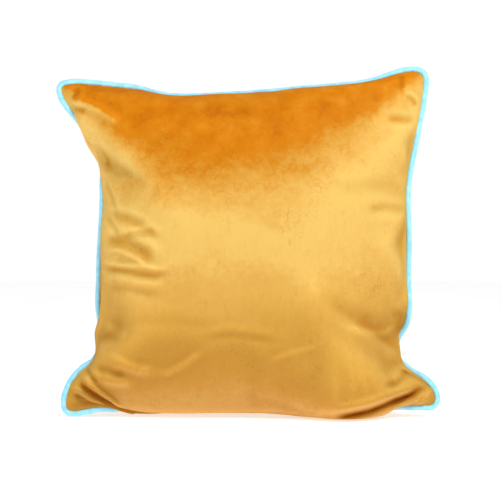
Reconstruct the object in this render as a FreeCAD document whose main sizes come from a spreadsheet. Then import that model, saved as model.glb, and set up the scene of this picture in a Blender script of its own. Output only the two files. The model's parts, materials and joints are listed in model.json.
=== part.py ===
import FreeCAD, Part

# Square throw pillow standing on its bottom edge: a velvet cover with a corded
# edge and a coil zip across the lower back, over a stuffed insert.
#
# Frame: +Z up, the front faces -Y, and the origin is at the bottom centre of the
# whole pillow. Lengths are millimetres and angles are degrees.

import math
import os

import Sketcher
from FreeCAD import Placement, Rotation, Vector

# alias, value, what it is
DIMENSIONS = [
    ("top_left_x", -243.5, "edge cord's top left corner before it is rounded"),
    ("top_left_z", 419.0, "height of that corner"),
    ("top_right_x", 227.0, "top right corner"),
    ("top_right_z", 436.5, "height of that corner"),
    ("foot_left_x", -236.0, "bottom left corner"),
    ("foot_right_x", 243.5, "bottom right corner"),
    ("foot_z", 9.5, "height of the edge cord along the bottom"),
    ("pull_left", 60.0, "how far the stuffed left edge pulls in at its middle"),
    ("pull_right", 39.0, "the same at the right"),
    ("pull_top", 30.0, "the same at the top"),
    ("ear_radius", 14.0, "radius of the edge cord round a corner"),
    ("cord_radius", 2.3, "filler cord inside the edge piping"),
    ("piping_radius", 3.3, "outside of the piping's sleeve"),
    ("flange_width", 10.0, "seam allowance inside the edge"),
    ("seam_distance", 4.0, "from the panels' edge to the seam's thread"),
    ("flange_thick", 1.0, "the sleeve's two layers in the seam"),
    ("allowance_thick", 0.6, "one panel's allowance in the seam"),
    ("velvet_thick", 1.4, "pile fabric of the cover"),
    ("crown_front", 84.0, "front crown above the seam plane"),
    ("crown_back", 84.0, "back crown before the zip band flattens it"),
    ("crown_inset", 150.0, "from the edge to the flat of the crown"),
    ("belly_rise", 170.0, "how high the crown's flat starts above the floor"),
    ("belly_sag", 3.0, "how far the belly would sink below the floor"),
    ("insert_gap", 0.8, "between the cover and the insert"),
    ("insert_inset", 11.5, "how much smaller the insert is at its edge"),
    ("casing_thick", 0.7, "cotton casing of the insert"),
    ("fill_gap", 0.3, "between the casing and its filling"),
    ("zip_height", 98.0, "middle of the zip above the floor"),
    ("zip_radius", 450.0, "radius of the arch that the zip follows"),
    ("zip_crown", 80.0, "outside of the zip band at its middle"),
    ("zip_half_angle", 18.5, "from the zip's middle to each end"),
    ("slot_half", 3.4, "half the gap between the panels' folded edges"),
    ("tape_gap", 0.1, "between panel and tape"),
    ("tape_thick", 0.6, "woven zip tape"),
    ("tape_width", 12.0, "each tape, across"),
    ("wedge_half", 0.75, "half the gap that the slider's wedge runs in"),
    ("coil_height", 1.45, "each coil, across the zip"),
    ("coil_thick", 1.9, "each coil, out from the tape"),
    ("stop_length", 2.4, "moulded stop along the zip"),
    ("stitch_radius", 0.3, "sewing thread"),
    ("stitch_offset", 5.6, "rows of stitching each side of the zip"),
    ("slider_length", 9.0, "slider along the zip"),
    ("slider_half", 3.1, "half its width across the zip"),
    ("plate_thick", 1.0, "each of its two plates"),
    ("run_gap", 0.3, "between the slider and what it runs over"),
    ("wedge_thick", 0.9, "web that joins its plates"),
    ("rim_thick", 0.6, "its side rims"),
    ("bar_radius", 0.55, "bar that the pull hangs on"),
    ("bar_lift", 1.75, "that bar above the front plate"),
    ("bar_length", 6.4, "length of that bar"),
    ("eye_gap", 0.1, "running gap between the bar and the pull's eye"),
    ("pull_thick", 1.1, "pull tab"),
    ("pull_neck", 3.2, "its width at the eye"),
    ("pull_width", 7.0, "its width at the grip"),
    ("pull_length", 22.0, "from the bar to its tip"),
    ("pull_hole", 1.5, "radius of the hole in the grip"),
    ("park_angle", 17.5, "closed slider from the zip's middle"),
]

# the cushion's sections lie at the sines of these angles, as shares of its crown
SECTION_ANGLES = (0, 2, 5, 10, 20, 32, 45, 58, 70, 81, 90)
LOFT_DEGREE = 2
SIDE_POWER = 2.0
CROWN_POWER = 2.5
EAR_THINNING = 0.15
SEAM_CREASE = 0.09
CORNER_SHARE = 0.62
CUTTER = 1200.0

doc = FreeCAD.newDocument("ThrowPillow")
sheet = doc.addObject("Spreadsheet::Sheet", "Dimensions")
for row, (alias, value, meaning) in enumerate(DIMENSIONS, start=1):
    sheet.set(f"A{row}", str(value))
    sheet.setAlias(f"A{row}", alias)
    sheet.set(f"B{row}", meaning)
doc.recompute()


def size(alias):
    """Value of one driving dimension."""
    return float(sheet.get(alias))


def bind(item, **expressions):
    """Binds properties of an object to expressions, with the sheet's aliases in <>."""
    for name, text in expressions.items():
        text = text.replace("<", "Dimensions.").replace(">", "")
        item.setExpression(name.replace("__", "."), text)


# ---------------------------------------------------------------- edge outline


def arch(start, end, pull, outward):
    """Centre and radius of a side that is pulled in by `pull` at its middle."""
    chord = (end - start).Length
    radius = (chord * chord / 4 + pull * pull) / (2 * pull)
    return (start + end) / 2 + outward * (radius - pull), radius


def meeting(centre_a, radius_a, centre_b, radius_b, near):
    """Of the two points where two circles in the XZ plane meet, the nearer one."""
    line = centre_b - centre_a
    span = line.Length
    along = (radius_a**2 - radius_b**2 + span**2) / (2 * span)
    across = math.sqrt(radius_a**2 - along**2)
    unit = line / span
    square = Vector(-unit.z, 0, unit.x)
    found = [centre_a + unit * along + square * across * side for side in (1, -1)]
    return min(found, key=lambda point: (point - near).Length)


CORNERS = {
    "top_left": Vector(size("top_left_x"), 0, size("top_left_z")),
    "top_right": Vector(size("top_right_x"), 0, size("top_right_z")),
    "foot_right": Vector(size("foot_right_x"), 0, size("foot_z")),
    "foot_left": Vector(size("foot_left_x"), 0, size("foot_z")),
}
LEFT = arch(CORNERS["foot_left"], CORNERS["top_left"], size("pull_left"), Vector(-1, 0, 0))
TOP = arch(CORNERS["top_left"], CORNERS["top_right"], size("pull_top"), Vector(0, 0, 1))
RIGHT = arch(CORNERS["top_right"], CORNERS["foot_right"], size("pull_right"), Vector(1, 0, 0))


def outline(inset, corner, floor, depth=0.0):
    """Closed wire inside the edge cord's centreline by `inset`, with rounded
    corners and its straight bottom at height `floor`, `depth` from the seam."""

    def top_corner(side, name):
        centre = meeting(
            side[0], side[1] + inset + corner, TOP[0], TOP[1] + inset + corner, CORNERS[name]
        )
        return centre, on_side(side, centre), on_side(TOP, centre)

    def foot_corner(side, sign):
        height = floor + corner
        reach = math.sqrt((side[1] + inset + corner) ** 2 - (height - side[0].z) ** 2)
        centre = Vector(side[0].x + sign * reach, 0, height)
        return centre, on_side(side, centre), Vector(centre.x, 0, floor)

    def on_side(side, point):
        return side[0] + (point - side[0]).normalize() * (side[1] + inset)

    def round_corner(centre, start, end):
        middle = ((start + end) / 2 - centre).normalize()
        return Part.Arc(start, centre + middle * corner, end)

    def long_side(side, start, end):
        middle = on_side(side, (start + end) / 2)
        return Part.Arc(start, middle, end)

    left_top, left_high, top_start = top_corner(LEFT, "top_left")
    right_top, right_high, top_end = top_corner(RIGHT, "top_right")
    right_foot, right_low, foot_end = foot_corner(RIGHT, -1)
    left_foot, left_low, foot_start = foot_corner(LEFT, 1)
    curves = [
        long_side(LEFT, left_low, left_high),
        round_corner(left_top, left_high, top_start),
        long_side(TOP, top_start, top_end),
        round_corner(right_top, top_end, right_high),
        long_side(RIGHT, right_high, right_low),
        round_corner(right_foot, right_low, foot_end),
        Part.LineSegment(foot_end, foot_start),
        round_corner(left_foot, foot_start, left_low),
    ]
    wire = Part.Wire([curve.toShape() for curve in curves])
    wire.translate(Vector(0, depth, 0))
    return wire


def edge_outline(inset, depth=0.0):
    """Outline that stays `inset` inside the edge cord's centreline all round."""
    return outline(inset, size("ear_radius") - inset, size("foot_z") + inset, depth)


edge_box = edge_outline(0).BoundBox
MIDDLE_X = (edge_box.XMin + edge_box.XMax) / 2
SEAM_Y = (size("crown_front") - size("zip_crown")) / 2
HOME = Vector(-MIDDLE_X, SEAM_Y, 0)
ZIP_AXIS = Vector(MIDDLE_X, size("zip_crown") - size("zip_radius"), 0)


# ----------------------------------------------------------------- soft forms


def half_form(side, crown, shrink, edge_shrink):
    """Stuffed half of the pillow on one side of the seam plane (-1 front, +1
    back), smaller than the cover's outside by `shrink`, and by `edge_shrink`
    more at the seam."""
    seam = size("piping_radius") + 0.3
    half_width = (edge_box.XMax - edge_box.XMin) / 2 - size("pull_left")
    wires = []
    for angle in SECTION_ANGLES:
        share = math.sin(math.radians(angle))
        fullness = (1 - share**SIDE_POWER) ** (1 / CROWN_POWER)
        near_seam = math.exp(-((share / SEAM_CREASE) ** 3))
        inset = seam + shrink + edge_shrink * near_seam
        inset += (size("crown_inset") - seam) * (1 - fullness)
        small = size("ear_radius") - seam
        corner = small + CORNER_SHARE * (half_width - inset - small) * (
            1 - math.exp(-((share / EAR_THINNING) ** 2))
        )
        floor = (size("foot_z") + seam + edge_shrink) * near_seam + shrink
        floor -= size("belly_sag") * (1 - near_seam)
        floor += size("belly_rise") * (1 - fullness) ** 1.5
        wires.append(outline(inset, corner, floor, side * (crown - shrink) * share))
    return Part.makeLoft(wires, True, False, False, LOFT_DEGREE)


def soft_form(name, side, shrink, edge_shrink=0.0, band_shrink=None):
    """A stuffed half as a closed solid, flat where it rests, and on the back cut
    to the zip's arched band."""
    crown = size("crown_front") if side < 0 else size("crown_back")
    form = half_form(side, crown, shrink, edge_shrink)
    below = Vector(-CUTTER / 2, -CUTTER / 2, shrink - CUTTER)
    form = form.cut(Part.makeBox(CUTTER, CUTTER, CUTTER, below))
    if side > 0:
        band = size("zip_radius") - (shrink if band_shrink is None else band_shrink)
        form = form.common(Part.makeCylinder(band, CUTTER, ZIP_AXIS))
    item = doc.addObject("Part::Feature", name)
    item.Shape = form
    return item


def slab(name, low, high):
    """A big block between two depths from the seam plane, to cut with."""
    box = doc.addObject("Part::Box", name)
    box.Length = CUTTER
    box.Height = CUTTER
    bind(box, Width=f"({high}) - ({low})")
    box.Placement = Placement(Vector(-CUTTER / 2, 0, -CUTTER / 2), Rotation())
    bind(box, Placement__Base__y=low)
    return box


def boolean(kind, name, base, tool):
    """A Part::Cut or Part::Common of two document objects."""
    item = doc.addObject(f"Part::{kind}", name)
    item.Base = base
    item.Tool = tool
    return item


def fused(name, *pieces):
    """A Part::MultiFuse of document objects."""
    item = doc.addObject("Part::MultiFuse", name)
    item.Shapes = list(pieces)
    return item


def flat_ring(name, outer_inset, inner_inset, low, thick):
    """Flat ring of seam allowance, `low` to `low + thick` from the seam plane."""
    outside = Part.Face(edge_outline(outer_inset, low)).extrude(Vector(0, thick, 0))
    opening = Part.Face(inner_outline(inner_inset, low)).extrude(Vector(0, thick, 0))
    item = doc.addObject("Part::Feature", name)
    item.Shape = outside.cut(opening)
    return item


def inner_outline(inset, depth):
    """Inside edge of a seam allowance, with small rounded corners."""
    return outline(inset, 4.0, size("foot_z") + inset, depth)


def tube_along(name, path, outer, inner=0.0):
    """Round tube or cord that follows a closed path round the pillow's edge."""
    start = path.Edges[0].valueAt(path.Edges[0].FirstParameter)
    along = path.Edges[0].tangentAt(path.Edges[0].FirstParameter)

    def swept(radius):
        ring = Part.Wire([Part.makeCircle(radius, start, along)])
        return path.makePipeShell([ring], True, False)

    shape = swept(outer)
    if inner:
        shape = shape.cut(swept(inner))
    item = doc.addObject("Part::Feature", name)
    item.Shape = shape
    return item


# ---------------------------------------------------------------------- cover

velvet = size("velvet_thick")
half_flange = size("flange_thick") / 2
seam_edge = size("piping_radius") + 0.3
allowance_end = seam_edge + size("flange_width")


def cover_half(name, side):
    """Hollow half of the cover with its seam allowance turned in."""
    outside = soft_form(f"{name}Outside", side, 0.0)
    inside = soft_form(f"{name}Inside", side, velvet)
    shell = boolean("Cut", f"{name}Shell", outside, inside)
    if side < 0:
        trimmer = slab(f"{name}Seam", "-2 * <crown_front>", "-<flange_thick> / 2")
        start = -half_flange - size("allowance_thick")
    else:
        trimmer = slab(f"{name}Seam", "<flange_thick> / 2", "2 * <crown_back>")
        start = half_flange
    wall = boolean("Common", f"{name}Wall", shell, trimmer)
    turned_in = flat_ring(
        f"{name}Allowance", seam_edge + 0.5, allowance_end, start, size("allowance_thick")
    )
    return fused(f"{name}Half", wall, turned_in)


def zip_sector(name, inner, outer, low, high, half_angle="<zip_half_angle>"):
    """Part of a ring about the zip's axis, from radius `inner` to `outer`."""

    def wedge(label, radius, angle):
        item = doc.addObject("Part::Cylinder", label)
        bind(item, Radius=radius, Height=f"({high}) - ({low})", Angle=f"2 * ({angle})")
        item.Placement = Placement(ZIP_AXIS, Rotation(Vector(0, 0, 1), 0))
        bind(
            item,
            Placement__Base__z=f"<zip_height> + ({low})",
            Placement__Rotation__Angle=f"90 deg - 1 deg * ({angle})",
        )
        return item

    body = wedge(f"{name}Disc", outer, half_angle)
    core = wedge(f"{name}Core", inner, f"{half_angle} + 5")
    return boolean("Cut", f"{name}Sector", body, core)


front = cover_half("Front", -1)
back = cover_half("Back", 1)

slot = zip_sector("Slot", "<zip_radius> - 12", "<zip_radius> + 12", "-<slot_half>", "<slot_half>")
slotted = boolean("Cut", "BackSlotted", back, slot)


def height_block(name, low, high):
    """A big block between two heights, to split the back panel with."""
    box = doc.addObject("Part::Box", name)
    box.Length = CUTTER
    box.Width = CUTTER
    bind(box, Height=f"({high}) - ({low})")
    box.Placement = Placement(Vector(-CUTTER / 2, -CUTTER / 2, 0), Rotation())
    bind(box, Placement__Base__z=low)
    return box


front_panel = front
back_panel_upper = boolean(
    "Common", "BackUpper", slotted, height_block("AboveZip", "<zip_height>", "3 * <top_right_z>")
)
back_panel_lower = boolean(
    "Common", "BackLower", slotted, height_block("BelowZip", "-<top_right_z>", "<zip_height>")
)

# --------------------------------------------------------------------- piping

cord_path = edge_outline(0)
sleeve_tube = tube_along("SleeveTube", cord_path, size("piping_radius"), size("cord_radius"))
sleeve_flange = flat_ring(
    "SleeveFlange",
    (size("piping_radius") + size("cord_radius")) / 2,
    allowance_end,
    -half_flange,
    size("flange_thick"),
)
piping_sleeve = fused("Sleeve", sleeve_tube, sleeve_flange)
piping_cord = tube_along("Cord", cord_path, size("cord_radius"))
thread_inset = seam_edge + size("seam_distance")
thread_depth = -half_flange - size("allowance_thick") - size("stitch_radius")
thread_path = outline(
    thread_inset, size("ear_radius"), size("foot_z") + thread_inset, thread_depth
)
seam_thread = tube_along("SeamThread", thread_path, size("stitch_radius"))

# ------------------------------------------------------------------------ zip

TAPE_OUT = "<zip_radius> - <velvet_thick> - <tape_gap>"
TAPE_IN = f"{TAPE_OUT} - <tape_thick>"
COIL_OUT = f"{TAPE_OUT} + <coil_thick>"
COIL_END = "<wedge_half> + <coil_height>"

zip_tape_upper = zip_sector(
    "TapeUpper", TAPE_IN, TAPE_OUT, "<wedge_half>", "<wedge_half> + <tape_width>"
)
zip_tape_lower = zip_sector(
    "TapeLower", TAPE_IN, TAPE_OUT, "-<wedge_half> - <tape_width>", "-<wedge_half>"
)
STOP_ANGLE = "<stop_length> / <zip_radius> * 180 / pi"
COIL_ANGLE = f"<zip_half_angle> - 0.1 - {STOP_ANGLE}"
zip_coil_upper = zip_sector(
    "CoilUpper", TAPE_OUT, COIL_OUT, "<wedge_half>", COIL_END, COIL_ANGLE
)
zip_coil_lower = zip_sector(
    "CoilLower", TAPE_OUT, COIL_OUT, f"-({COIL_END})", "-<wedge_half>", COIL_ANGLE
)


def turned(item, middle_angle):
    """Turns a zip piece about the zip's axis, to `middle_angle` along the zip."""
    spin = Placement(Vector(), Rotation(Vector(0, 0, 1), middle_angle), ZIP_AXIS)
    item.Placement = spin.multiply(item.Placement)
    return item


def stop_block(name, low, high, end):
    """Moulded stop at one end of the coil (+1 towards -X, the open end)."""
    block = zip_sector(name, TAPE_OUT, COIL_OUT, low, high, f"{STOP_ANGLE} / 2")
    middle = size("zip_half_angle") - math.degrees(
        size("stop_length") / size("zip_radius")
    ) / 2
    return turned(block, end * middle)


zip_bottom_stop = stop_block("StopOpen", f"-({COIL_END})", COIL_END, 1)
zip_top_stop_upper = stop_block("StopUpper", "<wedge_half>", COIL_END, -1)
zip_top_stop_lower = stop_block("StopLower", f"-({COIL_END})", "-<wedge_half>", -1)


def stitch_row(name, offset):
    """Row of stitching on the panel, beside the zip."""
    row_item = doc.addObject("Part::Torus", name)
    row_item.Placement = Placement(ZIP_AXIS, Rotation())
    bind(
        row_item,
        Radius1="<zip_radius> + <stitch_radius>",
        Radius2="<stitch_radius>",
        Angle3="2 * <zip_half_angle>",
        Placement__Base__z=f"<zip_height> + {offset}",
        Placement__Rotation__Angle="90 deg - 1 deg * <zip_half_angle>",
    )
    return row_item


zip_stitching_upper = stitch_row("StitchUpper", "<stitch_offset>")
zip_stitching_lower = stitch_row("StitchLower", "-<stitch_offset>")

# --------------------------------------------------------------------- slider


def block(name, length, width, height, x, y, z):
    """A Part::Box with its sizes and corner bound to the sheet."""
    box = doc.addObject("Part::Box", name)
    bind(
        box,
        Length=length,
        Width=width,
        Height=height,
        Placement__Base__x=x,
        Placement__Base__y=y,
        Placement__Base__z=z,
    )
    return box


# The slider is drawn at the middle of the zip: X along the zip, Y outwards, with
# Y = 0 at the outside of the tape and Z = 0 between the coils.
PLATE_Y = "<coil_thick> + <run_gap>"
BACK_Y = "-<tape_thick> - <run_gap> - <plate_thick>"
BAR_Y = f"{PLATE_Y} + <plate_thick> + <bar_lift>"

plate_front = block(
    "PlateFront", "<slider_length>", "<plate_thick>", "2 * <slider_half>",
    "-<slider_length> / 2", PLATE_Y, "-<slider_half>",
)
plate_back = block(
    "PlateBack", "<slider_length>", "<plate_thick>", "2 * <slider_half>",
    "-<slider_length> / 2", BACK_Y, "-<slider_half>",
)
wedge = block(
    "Wedge", "<slider_length> / 4", f"{PLATE_Y} - ({BACK_Y})", "<wedge_thick>",
    "-<slider_length> / 2 + 0.8", BACK_Y, "-<wedge_thick> / 2",
)
rims = [
    block(
        f"Rim{name}", "<slider_length>", f"{PLATE_Y} - <run_gap>", "<rim_thick>",
        "-<slider_length> / 2", "<run_gap>", z,
    )
    for name, z in (("High", "<slider_half> - <rim_thick>"), ("Low", "-<slider_half>"))
]
posts = [
    block(
        f"Post{name}", "2 * <bar_radius>", "<bar_lift> + <bar_radius>", "2 * <bar_radius>",
        x, f"{PLATE_Y} + <plate_thick>", "-<bar_radius>",
    )
    for name, x in (
        ("Left", "-<bar_length> / 2"),
        ("Right", "<bar_length> / 2 - 2 * <bar_radius>"),
    )
]
bar = doc.addObject("Part::Cylinder", "Bar")
bar.Placement = Placement(Vector(), Rotation(Vector(0, 1, 0), 90))
bind(
    bar,
    Radius="<bar_radius>",
    Height="<bar_length> - 2 * <bar_radius>",
    Placement__Base__x="-<bar_length> / 2 + <bar_radius>",
    Placement__Base__y=BAR_Y,
)
zip_slider = fused("Slider", plate_front, plate_back, wedge, *rims, *posts, bar)

# ------------------------------------------------------------------- pull tab


def plane_of(body, role):
    """One of a body's origin planes, by its role."""
    return next(f for f in body.Origin.OriginFeatures if f.Role == role)


def pull_tab():
    """Flat teardrop pull with its eye round the slider's bar, hanging down."""
    body = doc.addObject("PartDesign::Body", "PullTab")
    grip = body.newObject("Sketcher::SketchObject", "GripOutline")
    grip.AttachmentSupport = (plane_of(body, "XZ_Plane"), [""])
    grip.MapMode = "FlatFace"
    neck = size("pull_neck") / 2
    wide = size("pull_width") / 2
    end = -(size("pull_length") - wide)
    grip.addGeometry(Part.LineSegment(Vector(-neck, 0, 0), Vector(neck, 0, 0)))
    grip.addGeometry(Part.LineSegment(Vector(neck, 0, 0), Vector(wide, end, 0)))
    round_end = Part.Circle(Vector(0, end, 0), Vector(0, 0, 1), wide)
    grip.addGeometry(Part.ArcOfCircle(round_end, math.pi, 2 * math.pi))
    grip.addGeometry(Part.LineSegment(Vector(-wide, end, 0), Vector(-neck, 0, 0)))
    grip.addGeometry(Part.Circle(Vector(0, end, 0), Vector(0, 0, 1), size("pull_hole")))
    constraints = [
        Sketcher.Constraint("Coincident", 0, 2, 1, 1),
        Sketcher.Constraint("Coincident", 1, 2, 2, 2),
        Sketcher.Constraint("Coincident", 2, 1, 3, 1),
        Sketcher.Constraint("Coincident", 3, 2, 0, 1),
        Sketcher.Constraint("PointOnObject", 2, 3, -2),
        Sketcher.Constraint("Coincident", 4, 3, 2, 3),
        Sketcher.Constraint("Horizontal", 0),
        Sketcher.Constraint("Symmetric", 0, 1, 0, 2, -1, 1),
        Sketcher.Constraint("DistanceX", 0, 1, 0, 2, 2 * neck),
        Sketcher.Constraint("Radius", 2, wide),
        Sketcher.Constraint("DistanceY", 2, 3, -1, 1, -end),
        Sketcher.Constraint("Radius", 4, size("pull_hole")),
        Sketcher.Constraint("DistanceY", 2, 1, -1, 1, -end),
    ]
    for constraint in constraints:
        grip.addConstraint(constraint)
    for index, text in (
        (8, "Dimensions.pull_neck"),
        (9, "Dimensions.pull_width / 2"),
        (10, "Dimensions.pull_length - Dimensions.pull_width / 2"),
        (11, "Dimensions.pull_hole"),
        (12, "Dimensions.pull_length - Dimensions.pull_width / 2"),
    ):
        grip.setExpression(f"Constraints[{index}]", text)
    pad = body.newObject("PartDesign::Pad", "GripPad")
    pad.Profile = grip
    pad.Midplane = True
    bind(pad, Length="<pull_thick>")
    doc.recompute()

    eye = body.newObject("Sketcher::SketchObject", "EyeOutline")
    eye.AttachmentSupport = (plane_of(body, "YZ_Plane"), [""])
    eye.MapMode = "FlatFace"
    eye.addGeometry(Part.Circle(Vector(0, 0, 0), Vector(0, 0, 1), 1.45))
    eye.addConstraint(Sketcher.Constraint("Coincident", 0, 3, -1, 1))
    eye.addConstraint(Sketcher.Constraint("Radius", 0, 1.45))
    eye.setExpression("Constraints[1]", "Dimensions.bar_radius + Dimensions.eye_gap + 0.8")
    eye_pad = body.newObject("PartDesign::Pad", "EyePad")
    eye_pad.Profile = eye
    eye_pad.Midplane = True
    bind(eye_pad, Length="<pull_neck>")
    doc.recompute()

    bore = body.newObject("Sketcher::SketchObject", "EyeBore")
    bore.AttachmentSupport = (plane_of(body, "YZ_Plane"), [""])
    bore.MapMode = "FlatFace"
    bore.addGeometry(Part.Circle(Vector(0, 0, 0), Vector(0, 0, 1), 0.65))
    bore.addConstraint(Sketcher.Constraint("Coincident", 0, 3, -1, 1))
    bore.addConstraint(Sketcher.Constraint("Radius", 0, 0.65))
    bore.setExpression("Constraints[1]", "Dimensions.bar_radius + Dimensions.eye_gap")
    pocket = body.newObject("PartDesign::Pocket", "EyeHole")
    pocket.Profile = bore
    pocket.Midplane = True
    bind(pocket, Length="2 * <pull_neck>")
    body.Tip = pocket
    return body


zip_pull_tab = pull_tab()


# --------------------------------------------------------------------- insert

INSERT_SHRINK = size("velvet_thick") + size("insert_gap")
ZIP_DEPTH = size("velvet_thick") + size("tape_gap") + size("tape_thick") + size("run_gap")
INSERT_BAND = ZIP_DEPTH + size("plate_thick") + 2 * size("run_gap")


def insert_half(name, side, inward):
    """Closed half of the insert, `inward` inside the outside of its casing."""
    return soft_form(
        name, side, INSERT_SHRINK + inward, size("insert_inset"), INSERT_BAND + inward
    )


def casing_half(name, side):
    """One half of the insert's casing, open at the seam plane."""
    outside = insert_half(f"{name}Outside", side, 0.0)
    inside = insert_half(f"{name}Inside", side, size("casing_thick"))
    return boolean("Cut", f"{name}Wall", outside, inside)


insert_casing_front = casing_half("CasingFront", -1)
insert_casing_back = casing_half("CasingBack", 1)
inner = size("casing_thick") + size("fill_gap")
insert_filling = fused(
    "Filling", insert_half("FillingFront", -1, inner), insert_half("FillingBack", 1, inner)
)

# ----------------------------------------------------------- places and export

tape_face = size("zip_radius") - size("velvet_thick") - size("tape_gap")
on_zip = Placement(ZIP_AXIS, Rotation(Vector(0, 0, 1), -size("park_angle"))).multiply(
    Placement(Vector(0, tape_face, size("zip_height")), Rotation())
)
bar_out = size("coil_thick") + size("run_gap") + size("plate_thick") + size("bar_lift")
on_bar = on_zip.multiply(Placement(Vector(0, bar_out, 0), Rotation()))

PARTS = {
    "front_panel": (front_panel, Placement()),
    "back_panel_upper": (back_panel_upper, Placement()),
    "back_panel_lower": (back_panel_lower, Placement()),
    "piping_sleeve": (piping_sleeve, Placement()),
    "piping_cord": (piping_cord, Placement()),
    "edge_seam_thread": (seam_thread, Placement()),
    "zip_tape_upper": (zip_tape_upper, Placement()),
    "zip_tape_lower": (zip_tape_lower, Placement()),
    "zip_coil_upper": (zip_coil_upper, Placement()),
    "zip_coil_lower": (zip_coil_lower, Placement()),
    "zip_top_stop_upper": (zip_top_stop_upper, Placement()),
    "zip_top_stop_lower": (zip_top_stop_lower, Placement()),
    "zip_bottom_stop": (zip_bottom_stop, Placement()),
    "zip_stitching_upper": (zip_stitching_upper, Placement()),
    "zip_stitching_lower": (zip_stitching_lower, Placement()),
    "zip_slider": (zip_slider, on_zip),
    "zip_pull_tab": (zip_pull_tab, on_bar),
    "insert_casing_front": (insert_casing_front, Placement()),
    "insert_casing_back": (insert_casing_back, Placement()),
    "insert_filling": (insert_filling, Placement()),
}

for label, (item, place) in PARTS.items():
    item.Placement = Placement(HOME, Rotation()).multiply(place).multiply(item.Placement)
    item.Label = label
doc.recompute()

for item in doc.Objects:
    if {"Invalid", "Error"} & set(item.State):
        raise RuntimeError(f"{item.Label} did not recompute: {item.State}")

os.makedirs("parts", exist_ok=True)
for label, (item, _) in PARTS.items():
    shape = item.Shape
    if shape.isNull() or not shape.isValid() or not shape.Solids:
        raise RuntimeError(f"{label} has no valid solid")
    shape.exportStep(f"parts/{label}.step")
    box = shape.BoundBox
    print(
        f"{label}: {len(shape.Solids)} solid, {shape.Volume / 1000:.3f} cm3, "
        f"x {box.XMin:.1f}..{box.XMax:.1f}, y {box.YMin:.1f}..{box.YMax:.1f}, "
        f"z {box.ZMin:.1f}..{box.ZMax:.1f}"
    )
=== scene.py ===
"""Looks for the throw pillow: a gold velvet cover with an aqua corded edge, its
coil zip across the lower back, and the stuffed insert inside it."""

import json
import logging
import math
from dataclasses import dataclass, field
from enum import Enum

import bpy
import numpy as np
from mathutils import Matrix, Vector
from mathutils.bvhtree import BVHTree

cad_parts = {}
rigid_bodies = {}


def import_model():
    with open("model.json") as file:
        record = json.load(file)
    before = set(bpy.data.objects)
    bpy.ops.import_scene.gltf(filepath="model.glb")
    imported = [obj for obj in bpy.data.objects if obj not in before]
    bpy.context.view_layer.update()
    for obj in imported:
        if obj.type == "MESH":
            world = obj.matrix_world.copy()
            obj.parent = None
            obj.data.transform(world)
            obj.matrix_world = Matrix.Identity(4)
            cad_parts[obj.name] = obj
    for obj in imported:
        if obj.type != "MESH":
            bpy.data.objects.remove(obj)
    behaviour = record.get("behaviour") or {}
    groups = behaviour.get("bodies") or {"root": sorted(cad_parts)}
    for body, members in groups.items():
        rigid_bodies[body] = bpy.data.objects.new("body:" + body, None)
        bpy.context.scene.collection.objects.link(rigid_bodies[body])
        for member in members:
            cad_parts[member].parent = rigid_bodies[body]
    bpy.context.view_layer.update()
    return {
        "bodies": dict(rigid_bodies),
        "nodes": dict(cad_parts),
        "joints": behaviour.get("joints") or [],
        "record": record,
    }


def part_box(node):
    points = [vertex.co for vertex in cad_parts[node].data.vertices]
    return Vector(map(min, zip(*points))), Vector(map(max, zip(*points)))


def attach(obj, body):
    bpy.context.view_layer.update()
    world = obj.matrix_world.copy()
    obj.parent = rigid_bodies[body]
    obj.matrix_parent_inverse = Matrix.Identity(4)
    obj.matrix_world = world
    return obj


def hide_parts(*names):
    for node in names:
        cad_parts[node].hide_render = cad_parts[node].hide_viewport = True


LOG = logging.getLogger("throw_pillow")
MM = 0.001
FLOOR_GAP = 0.0005
GRID_EDGES = ((0, slice(None)), (-1, slice(None)), (slice(None), 0), (slice(None), -1))


# --------------------------------------------------------------------- finishes


def linear(hex_code: str) -> tuple[float, float, float, float]:
    """Turns an sRGB hex value into a linear colour.

    Args:
        hex_code: six hex digits.

    Returns:
        Red, green, blue and an alpha of 1.
    """
    parts = [int(hex_code[i : i + 2], 16) / 255 for i in (0, 2, 4)]
    return (*[c / 12.92 if c <= 0.04045 else ((c + 0.055) / 1.055) ** 2.4 for c in parts], 1.0)


def add_node(
    tree: bpy.types.NodeTree,
    kind: str,
    settings: dict | None = None,
    inputs: dict | None = None,
) -> bpy.types.Node:
    """Adds a shader node with its settings and links.

    Args:
        tree: node tree that gets the node.
        kind: type of the node, without its "ShaderNode".
        settings: attribute name to value.
        inputs: socket name or number to a value, or to an output socket to link.

    Returns:
        The new node.
    """
    node = tree.nodes.new(f"ShaderNode{kind}")
    for name, value in (settings or {}).items():
        setattr(node, name, value)
    for name, value in (inputs or {}).items():
        if isinstance(value, bpy.types.NodeSocket):
            tree.links.new(value, node.inputs[name])
        else:
            node.inputs[name].default_value = value
    return node


def new_material(name: str) -> tuple[bpy.types.Material, bpy.types.NodeTree, bpy.types.Node]:
    """Starts a material.

    Args:
        name: the real material and how it was made.

    Returns:
        The material, its node tree and its main shader.
    """
    material = bpy.data.materials.new(name)
    material.use_nodes = True
    return material, material.node_tree, material.node_tree.nodes["Principled BSDF"]


def set_ramp(ramp: bpy.types.Node, stops: list[tuple[float, str]]) -> None:
    """Sets a colour ramp's stops.

    Args:
        ramp: the ramp node.
        stops: position and hex value of each stop, in order.
    """
    while len(ramp.color_ramp.elements) < len(stops):
        ramp.color_ramp.elements.new(1.0)
    for element, (position, hex_code) in zip(ramp.color_ramp.elements, stops):
        element.position = position
        element.color = linear(hex_code)


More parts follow.
